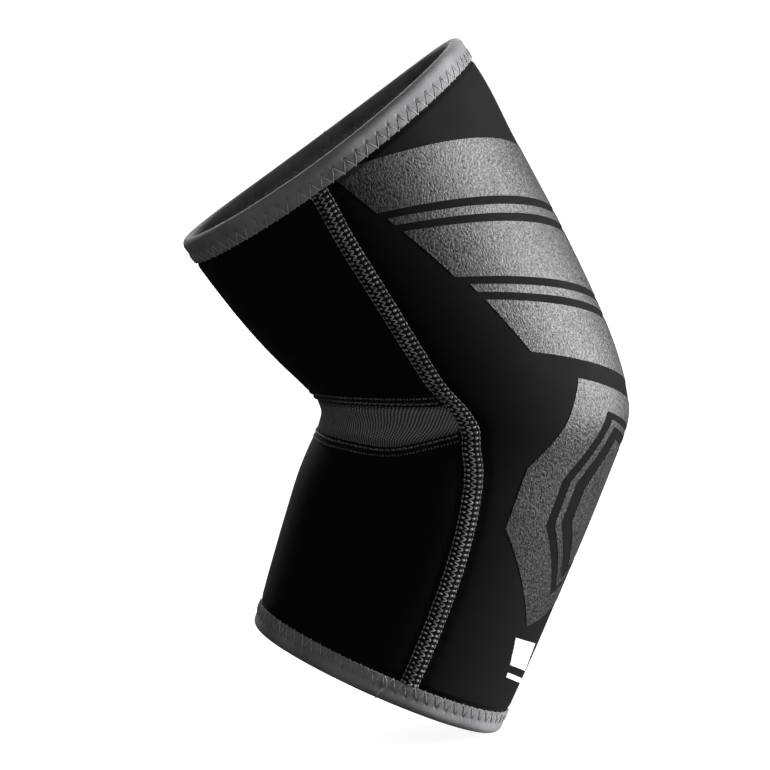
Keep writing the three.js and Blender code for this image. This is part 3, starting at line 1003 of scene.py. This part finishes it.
def pad_band(outer_share, inner_share):
    """The near half of a band between two outlines, as convex pieces."""
    outline = np.array(PAD_OUTLINE)
    outer = lerp(outline, np.array(PAD_MIDDLE), outer_share)
    inner = lerp(outline, np.array(PAD_MIDDLE), inner_share)
    pieces = []
    for k in range(len(outline) - 1):
        piece = [outer[k], outer[k + 1], inner[k + 1]]
        if inner_share < 1:
            piece.append(inner[k])
        pieces.append([tuple(corner) for corner in piece])
    return pieces


def mirrored_both_ways(shapes):
    return shapes + [[(-u, v) for u, v in shape] for shape in shapes]


def ink_shape(shapes):
    """Closed flat shapes of (round the arm, along it), cut into cells and laid on the cloth."""
    flat = bmesh.new()
    for shape in shapes:
        corners = [flat.verts.new((u, v, 0)) for u, v in shape]
        face = flat.faces.new(corners)
        if face.calc_area() > 0 and face.normal.z < 0:
            face.normal_flip()
    bmesh.ops.remove_doubles(flat, verts=flat.verts, dist=1e-4)
    cuts = [(Vector((1, 0, 0)), u) for u in np.arange(-80, 80, INK_CELL)]
    cuts += [(Vector((0, 1, 0)), v) for v in np.arange(-90, HEM_START, INK_CELL)]
    cuts += [(Vector((0, 1, 0)), v) for v in np.arange(HEM_START, UPPER_LENGTH, HEM_CELL)]
    for normal, cut in cuts:
        everything = flat.verts[:] + flat.edges[:] + flat.faces[:]
        bmesh.ops.bisect_plane(
            flat, geom=everything, plane_co=normal * cut, plane_no=normal, dist=1e-5
        )
    bmesh.ops.recalc_face_normals(flat, faces=flat.faces)
    raised = bmesh.ops.extrude_face_region(flat, geom=flat.faces[:], use_keep_orig=True)
    for item in raised["geom"]:
        if isinstance(item, bmesh.types.BMVert):
            item.co.z = 1
    bmesh.ops.recalc_face_normals(flat, faces=flat.faces)
    flat.verts.index_update()
    chart = np.array([v.co for v in flat.verts])
    faces = [[v.index for v in face.verts] for face in flat.faces]
    flat.free()
    turn = chart[:, 0] / (ELBOW_WIDTH / 2)
    at = chart[:, 1] / np.where(chart[:, 1] > 0, UPPER_LENGTH, LOWER_LENGTH)
    height = np.where(chart[:, 2] > 0.5, INK_HEIGHT, -INK_DEPTH)
    return over_cloth(at, turn, height - rim_squeeze(at, turn)), faces


def grip_print():
    shapes = [chevron(*row) for row in CHEVRONS]
    for band in PAD_BANDS:
        shapes += pad_band(*band)
    new_piece("grip_print", ink_shape(mirrored_both_ways(shapes)), GRIP_INK, ())


# A plain white bar with a thin line under it, low on the forearm on each side of the elbow's line
WHITE_BAR = [(10.0, -70.0), (28.0, -68.0), (31.5, -60.3), (13.5, -62.0)]
WHITE_LINE = [(8.6, -73.6), (26.6, -71.6), (27.2, -70.2), (9.2, -72.2)]


def white_accent():
    shapes = mirrored_both_ways([WHITE_BAR, WHITE_LINE])
    new_piece("white_accent", ink_shape(shapes), WHITE_INK, ())


# Floor, lights and camera

PHOTO_SIZE = 770  # pixels
PHOTO_SCALE = 0.31  # millimetres of the sleeve in a pixel
PHOTO_ORIGIN = (475, 412)  # the pixel of the frame's origin
CAMERA_ELEVATION = math.radians(7)
CAMERA_DISTANCE = 2.0
SENSOR = 36.0
FLOOR_GAP = 0.0008  # metres below the sleeve's lowest point


def studio_floor():
    """A white floor that sweeps up into a backdrop, just below the sleeve.

    It is lit from within, as white studio paper is by its own lamps, and throws no light back.
    """
    floor_z = cad_box[0].z - FLOOR_GAP
    start, sweep, side = 3.6, 0.8, 9.0
    profile = [(-side, 0.0), (start, 0.0)]
    for k in range(1, 13):
        angle = math.radians(90 * k / 12)
        profile.append((start + sweep * math.sin(angle), sweep * (1 - math.cos(angle))))
    profile.append((start + sweep, 4.0))
    points = [(x, y, floor_z + z) for y, z in profile for x in (-side, side)]
    faces = [(2 * k, 2 * k + 1, 2 * k + 3, 2 * k + 2) for k in range(len(profile) - 1)]
    mesh = bpy.data.meshes.new("studio_floor")
    mesh.from_pydata(points, [], faces)
    mesh.polygons.foreach_set("use_smooth", [True] * len(faces))
    material, tree, shader = new_material("lit_paper")
    grain = noise(tree, object_place(tree), 40, 2)
    color = ramp(tree, grain, 0.3, 0.7, (0.28, 0.28, 0.28), (0.3, 0.3, 0.3))
    tree.links.new(color, shader.inputs["Base Color"])
    # The glow is painted light: it rises from 0.92 near the origin to full white further out, where
    # the lamps light the backdrop less.
    away = add_node(tree, "ShaderNodeVectorMath", {0: object_place(tree)}, operation="LENGTH")
    glow = ramp(tree, product(tree, away.outputs["Value"], 0.4), 0.2, 0.9, (0.92,) * 3, (1,) * 3)
    tree.links.new(glow, shader.inputs["Emission Color"])
    shader.inputs["Roughness"].default_value = 0.9
    shader.inputs["Emission Strength"].default_value = 1.0
    mesh.materials.append(material)
    floor = bpy.data.objects.new("studio_floor", mesh)
    floor.visible_diffuse = False
    floor.visible_glossy = False
    bpy.context.scene.collection.objects.link(floor)


def area_light(name, place, size, power, glossy=True):
    """A soft light aimed at the sleeve. One that isn't glossy leaves no highlight of its own."""
    data = bpy.data.lights.new(name, "AREA")
    data.shape = "RECTANGLE"
    data.size, data.size_y = size
    data.energy = power
    light = bpy.data.objects.new(name, data)
    light.location = place
    light.rotation_mode = "QUATERNION"
    light.rotation_quaternion = (Vector((-0.02, 0, 0)) - Vector(place)).to_track_quat("-Z", "Y")
    light.visible_glossy = glossy
    bpy.context.scene.collection.objects.link(light)


def studio_light():
    area_light("key_light", (1.3, 0.03, 0.32), (0.7, 0.9), 53)
    area_light("fill_light", (0.9, -1.6, 0.1), (1.0, 1.0), 9, glossy=False)
    area_light("left_light", (-0.7, -1.3, 1.2), (0.8, 0.8), 3.8, glossy=False)
    area_light("back_light", (-0.5, 1.8, 0.9), (0.9, 1.0), 30)
    world = bpy.data.worlds.new("studio_world")
    world.use_nodes = True
    sky = world.node_tree.nodes["Background"]
    sky.inputs["Color"].default_value = (1, 1, 1, 1)
    sky.inputs["Strength"].default_value = 0.085
    bpy.context.scene.world = world
    bpy.context.scene.view_settings.view_transform = "Standard"


def photo_camera():
    """The photograph's view: its middle pixel is the aim, and its scale holds at the arm's plane."""
    aim_x = (PHOTO_SIZE / 2 - PHOTO_ORIGIN[0]) * PHOTO_SCALE * MM
    aim_z = (PHOTO_ORIGIN[1] - PHOTO_SIZE / 2) * PHOTO_SCALE * MM
    back = Vector((0, -math.cos(CAMERA_ELEVATION), math.sin(CAMERA_ELEVATION)))
    data = bpy.data.cameras.new("photo_camera")
    data.sensor_width = SENSOR
    data.lens = SENSOR * CAMERA_DISTANCE / (PHOTO_SIZE * PHOTO_SCALE * MM)
    camera = bpy.data.objects.new("photo_camera", data)
    camera.location = Vector((aim_x, 0, aim_z)) + back * CAMERA_DISTANCE
    camera.rotation_mode = "QUATERNION"
    camera.rotation_quaternion = (-back).to_track_quat("-Z", "Y")
    bpy.context.scene.collection.objects.link(camera)
    bpy.context.scene.camera = camera


outer_panel()
inner_panel(
    UPPER, "upper_inner_neoprene", "upper_inner_panel"
)
inner_panel(
    LOWER, "lower_inner_neoprene", "lower_inner_panel"
)
crook_insert()
side_seam(NEAR, "near_seam", "near_side_seam")
side_seam(FAR, "far_seam", "far_side_seam")
crook_seam(UPPER, "upper_crook", "upper_crook_seam")
crook_seam(LOWER, "lower_crook", "lower_crook_seam")
rim_tape(UPPER, "upper_tape", "upper_binding")
rim_tape(LOWER, "lower_tape", "lower_binding")
grip_print()
white_accent()
studio_floor()
studio_light()
photo_camera()
